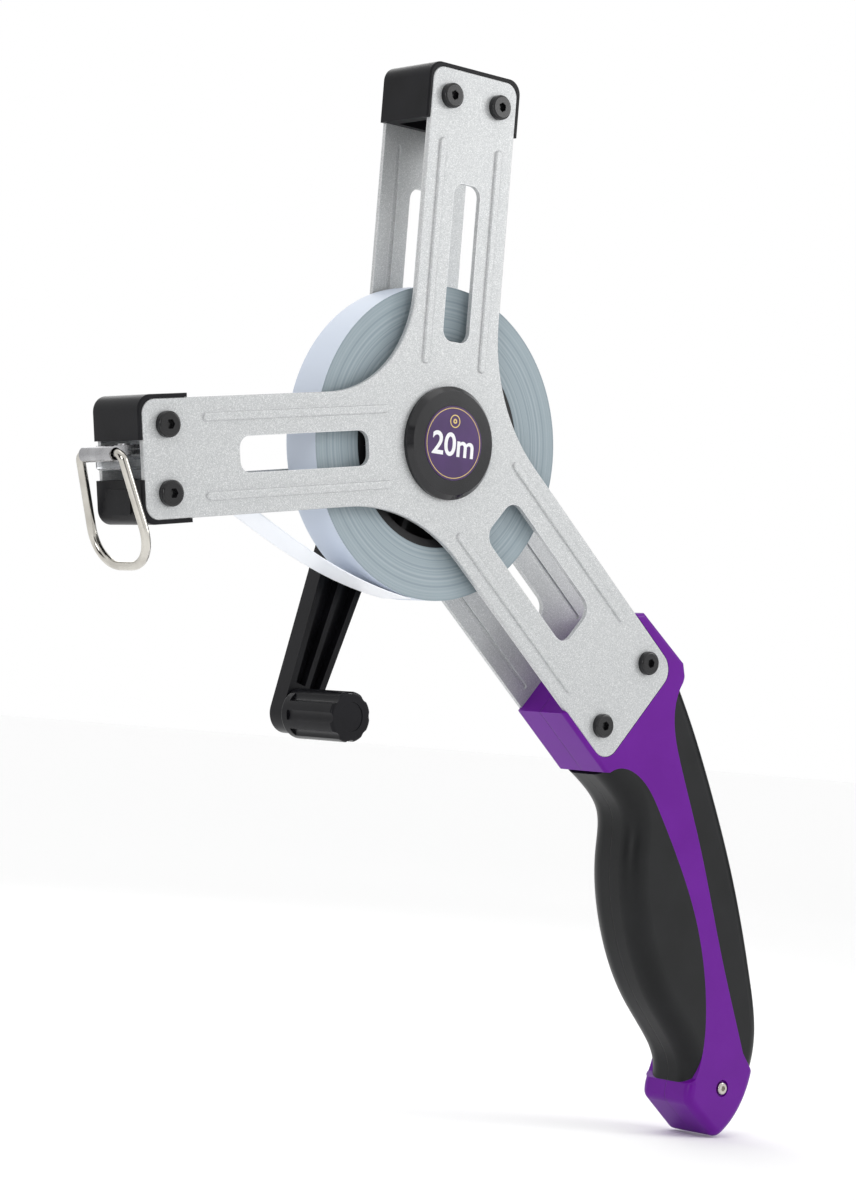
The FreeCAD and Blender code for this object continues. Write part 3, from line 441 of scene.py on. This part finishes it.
def printedFoil():
    f = Finish("printedFoil", (0.13, 0.035, 0.22), 0.28, 0.15)
    grain = f.group(grainGroup, Scale=2600, Patch_Scale=120)
    f.paint(f.ramp(grain.outputs["Patches"], [(0.3, (0.035, 0.008, 0.075)), (0.7, (0.055, 0.014, 0.11))]))
    f.bump(grain.outputs["Grain"], 0.00001, 0.4)
    return f.mat


# slot: (name, dark tone, light tone, roughness, grain scale, grain depth, the shader's other values)
mouldings = {
    "black_cover": ("coverPlastic", (0.006, 0.006, 0.007), (0.010, 0.010, 0.012), 0.36, 1900, 0.00004,
                    {"Specular_IOR_Level": 0.13}),
    "black_steel": ("blackedSteel", (0.004, 0.004, 0.005), (0.008, 0.008, 0.009), 0.22, 2400, 0.00001,
                    {"Specular_IOR_Level": 0.45}),
    "black_gloss": ("capGloss", (0.005, 0.005, 0.006), (0.008, 0.008, 0.01), 0.14, 1200, 0.000008, {}),
    "violet_shell": ("violetShell", (0.118, 0.004, 0.245), (0.13, 0.006, 0.27), 0.32, 2300, 0.00002,
                     {"seam": True, "Specular_IOR_Level": 0.17}),
    "grip_rubber": ("gripRubber", (0.005, 0.0055, 0.006), (0.008, 0.0085, 0.0095), 0.38, 2600, 0.00003,
                    {"seam": True, "Specular_IOR_Level": 0.24}),
    "core_plastic": ("corePlastic", (0.006, 0.006, 0.007), (0.01, 0.01, 0.011), 0.45, 1700, 0.00004,
                     {"Specular_IOR_Level": 0.3}),
    "washer_nylon": ("naturalNylon", (0.62, 0.6, 0.54), (0.72, 0.7, 0.64), 0.5, 1500, 0.00003,
                     {"Subsurface_Weight": 0.1}),
    "crank_plastic": ("crankPlastic", (0.004, 0.004, 0.005), (0.007, 0.007, 0.009), 0.3, 1800, 0.00003,
                      {"Specular_IOR_Level": 0.15}),
}

finishes = {slot: mouldedPlastic(*values, **others) for slot, (*values, others) in mouldings.items()}
finishes["silver_coat"] = sparkleCoat()
finishes["violet_label"] = printedFoil()
finishes["bush_brass"] = turnedMetal("turnedBrass", (0.5, 0.36, 0.15), (0.66, 0.5, 0.24), 0.3)
finishes["steel"] = turnedMetal("turnedSteel", (0.42, 0.42, 0.43), (0.6, 0.6, 0.61), 0.3)
finishes["tape"] = woundTape()
finishes["bright_steel"] = polishedSteel()
finishes["clear_plastic"] = clearFilm()
tapeFace = freeTape()
clipSteel = turnedMetal("rolledClipSteel", (0.3, 0.3, 0.31), (0.42, 0.42, 0.43), 0.26)

for part in frame["record"]["subparts"]:
    obj = nodes[part["node"]]
    obj.data.materials.clear()
    obj.data.materials.append(finishes[part["material_slot"]])
nodes["tape_end_clip"].data.materials[0] = clipSteel
print("finishes on", len(nodes), "nodes")


def weldAndSmooth(gap, angle):
    # joins the doubled points of the mesh being edited, faces it outward and rounds its shading
    bpy.ops.mesh.select_all(action="SELECT")
    bpy.ops.mesh.remove_doubles(threshold=gap)
    bpy.ops.mesh.normals_make_consistent(inside=False)
    bpy.ops.object.mode_set(mode="OBJECT")
    bpy.ops.object.shade_smooth_by_angle(angle=math.radians(angle))


coil = {
    "turns": 60,
    "proud": 0.00005,
    "coreGap": 0.00005,
    "waves": (2.4, 0.7),
    "steps": 144,
    "smooth": 30,
}


def makeCoil():
    low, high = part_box("tape_coil")
    outer = high.x
    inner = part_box("spool_core")[1].x + coil["coreGap"]
    freshStart()
    middle = Vector(((inner + outer) / 2, (low.y + high.y) / 2, 0))
    bpy.ops.mesh.primitive_plane_add(size=1, location=middle)
    section = bpy.context.object
    section.name = "tapeTurns"
    section.scale = (outer - inner, high.y - low.y, 1)
    bpy.ops.object.transform_apply(location=True, rotation=True, scale=True)
    bpy.ops.object.mode_set(mode="EDIT")
    bpy.ops.mesh.delete(type="ONLY_FACE")
    bpy.ops.object.mode_set(mode="OBJECT")
    for edge in section.data.edges:
        a, b = (section.data.vertices[i].co for i in edge.vertices)
        edge.select = abs(a.y - b.y) < 1e-6
    bpy.ops.object.mode_set(mode="EDIT")
    bpy.ops.mesh.select_mode(type="EDGE")
    bpy.ops.mesh.subdivide(number_cuts=coil["turns"] - 1)
    bpy.ops.object.mode_set(mode="OBJECT")
    width = (outer - inner) / coil["turns"]
    quick, slow = coil["waves"]
    for vert in section.data.vertices:
        turn = round((vert.co.x - inner) / width)
        if 0 < turn < coil["turns"]:
            sink = coil["proud"] * (0.5 + 0.5 * math.sin(quick * turn) * math.sin(slow * turn + 1))
            vert.co.y += sink if vert.co.y < middle.y else -sink
    bpy.ops.object.mode_set(mode="EDIT")
    bpy.ops.mesh.select_all(action="SELECT")
    bpy.ops.mesh.spin(steps=coil["steps"], angle=2 * math.pi, center=(0, 0, 0), axis=(0, 1, 0))
    weldAndSmooth(samePoint, coil["smooth"])
    section.data.materials.append(finishes["tape"])
    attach(section, "spool")
    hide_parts("tape_coil")


makeCoil()
print("coil wound")


label = {
    "words": "20m",
    "size": 0.0092,
    "drop": 0.0008,
    "raise": 0.00003,
    "swell": 0.00016,
    # name: (centre up from the label's middle, outer radius, inner radius), a plain reel sign in gold
    "rings": {"reelRim": (0.0063, 0.0019, 0.0016), "reelHub": (0.0063, 0.0007, 0.0003)},
    "border": (0.0, 0.01015, 0.00995),
}


def ink(name, colour, rough, metal):
    f = Finish(name, colour, rough, metal)
    grain = f.group(grainGroup, Scale=2600, Patch_Scale=300)
    darker = tuple(0.9 * c for c in colour)
    f.paint(f.ramp(grain.outputs["Patches"], [(0.3, darker), (0.7, colour)]))
    return f.mat


def printedRing(name, up, outer, inner, face, mat):
    # a flat disc, its middle taken out, raised by the thickness of the ink
    freshStart()
    bpy.ops.mesh.primitive_circle_add(vertices=96, radius=outer, fill_type="NGON",
                                      location=(0, face, up), rotation=(math.radians(90), 0, 0))
    ring = bpy.context.object
    ring.name = name
    bpy.ops.object.transform_apply(location=True, rotation=True, scale=True)
    bpy.ops.object.mode_set(mode="EDIT")
    bpy.ops.mesh.select_all(action="SELECT")
    bpy.ops.mesh.inset(thickness=outer - inner)
    bpy.ops.mesh.delete(type="FACE")
    bpy.ops.mesh.select_all(action="SELECT")
    bpy.ops.mesh.extrude_region_move(TRANSFORM_OT_translate={"value": (0, -label["raise"], 0)})
    bpy.ops.mesh.select_all(action="SELECT")
    bpy.ops.mesh.normals_make_consistent(inside=False)
    bpy.ops.object.mode_set(mode="OBJECT")
    ring.data.materials.append(mat)
    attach(ring, "frame")


def makeLabelPrint():
    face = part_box("hub_label")[0].y
    white = ink("whiteInk", (0.85, 0.85, 0.87), 0.35, 0.0)
    gold = ink("goldInk", (0.6, 0.45, 0.17), 0.35, 0.6)
    freshStart()
    bpy.ops.object.text_add(location=(0, 0, 0))
    text = bpy.context.object
    text.data.body = label["words"]
    text.data.align_x = "CENTER"
    text.data.align_y = "CENTER"
    text.data.size = label["size"]
    text.data.offset = label["swell"]
    text.data.extrude = label["raise"] / 2
    bpy.ops.object.convert(target="MESH")
    text = bpy.context.object
    text.name = "lengthPrint"
    text.rotation_euler = (math.radians(90), 0, 0)
    text.location = (0, face - label["raise"] / 2, -label["drop"])
    bpy.ops.object.transform_apply(location=True, rotation=True, scale=True)
    text.data.materials.append(white)
    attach(text, "frame")
    for name, (up, outer, inner) in label["rings"].items():
        printedRing(name, up, outer, inner, face, gold)
    printedRing("labelBorder", *label["border"], face, gold)


makeLabelPrint()
print("label printed")


ringWire = {
    "radius": 0.0013,
    "gap": 0.0004,
    "neck": 0.0096,
    "half": 0.0132,
    "drop": 0.0309,
    "neckBend": 0.0022,
    "footBend": 0.0095,
    "lean": 21.5,
    "bendCuts": 12,
    "roundness": 6,
    "weld": 0.000002,
    "smooth": 50,
}


def roundCorner(ring, corner, beside, bend):
    # both corners at this height are rounded; beside gives the ends of the two runs that meet there
    at, before, after = (Vector((0, *p)) for p in (corner, *beside))
    angle = (before - at).angle(after - at)
    bpy.ops.mesh.select_all(action="DESELECT")
    bpy.ops.object.mode_set(mode="OBJECT")
    for vert in ring.data.vertices:
        vert.select = abs(abs(vert.co.y) - corner[0]) < 1e-5 and abs(vert.co.z - corner[1]) < 1e-5
    bpy.ops.object.mode_set(mode="EDIT")
    bpy.ops.mesh.select_mode(type="VERT")
    bpy.ops.mesh.bevel(affect="VERTICES", offset=bend / math.tan(angle / 2), segments=ringWire["bendCuts"])


def makeHookRing():
    # joined runs of wire, their corners rounded, swept as a tube and leaned in about the clip's axis
    w = ringWire
    pivot = Vector(next(j["pos_m"] for j in frame["joints"] if j["name"] == "ring_swing"))
    half = [(w["gap"] / 2, 0), (w["neck"], 0), (w["half"], -w["drop"])]
    points = half + [(-y, z) for y, z in reversed(half)]
    freshStart()
    bpy.ops.mesh.primitive_plane_add(size=0.001)
    ring = bpy.context.object
    ring.name = "hookRingWire"
    bpy.ops.object.mode_set(mode="EDIT")
    bpy.ops.mesh.select_all(action="SELECT")
    bpy.ops.mesh.merge(type="CENTER")
    bpy.ops.transform.translate(value=(0, points[0][0], points[0][1]))
    for a, b in zip(points, points[1:]):
        bpy.ops.mesh.extrude_vertices_move(TRANSFORM_OT_translate={"value": (0, b[0] - a[0], b[1] - a[1])})
    roundCorner(ring, points[2], (points[1], points[3]), w["footBend"])
    roundCorner(ring, points[1], (points[0], points[2]), w["neckBend"])
    bpy.ops.object.mode_set(mode="OBJECT")
    bpy.ops.object.convert(target="CURVE")
    ring = bpy.context.object
    ring.data.bevel_depth = w["radius"]
    ring.data.bevel_resolution = w["roundness"]
    ring.data.use_fill_caps = True
    bpy.ops.object.convert(target="MESH")
    ring = bpy.context.object
    ring.location = pivot
    ring.rotation_euler = (0, math.radians(-w["lean"]), 0)
    bpy.ops.object.transform_apply(location=True, rotation=True, scale=True)
    bpy.ops.object.mode_set(mode="EDIT")
    weldAndSmooth(w["weld"], w["smooth"])
    ring.data.materials.clear()
    ring.data.materials.append(finishes["bright_steel"])
    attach(ring, "ring")
    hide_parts("hook_ring")


makeHookRing()
print("ring bent")


ribbon = {"cuts": 2, "smooth": 40}


def makeRibbon():
    # the plain strip gives the line; its doubled corners are joined and its length divided for the bend
    freshStart()
    piece = nodes["tape_strip"].copy()
    piece.data = nodes["tape_strip"].data.copy()
    piece.name = "tapeRibbon"
    piece.parent = None
    for key in list(piece.keys()):
        del piece[key]
    bpy.context.scene.collection.objects.link(piece)
    bpy.context.view_layer.objects.active = piece
    piece.select_set(True)
    bpy.ops.object.mode_set(mode="EDIT")
    bpy.ops.mesh.select_all(action="SELECT")
    bpy.ops.mesh.remove_doubles(threshold=samePoint)
    bpy.ops.mesh.subdivide(number_cuts=ribbon["cuts"])
    bpy.ops.object.mode_set(mode="OBJECT")
    bpy.ops.object.shade_smooth_by_angle(angle=math.radians(ribbon["smooth"]))
    piece.data.materials.clear()
    piece.data.materials.append(tapeFace)
    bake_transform(piece)
    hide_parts("tape_strip")


makeRibbon()
print("free tape laid")
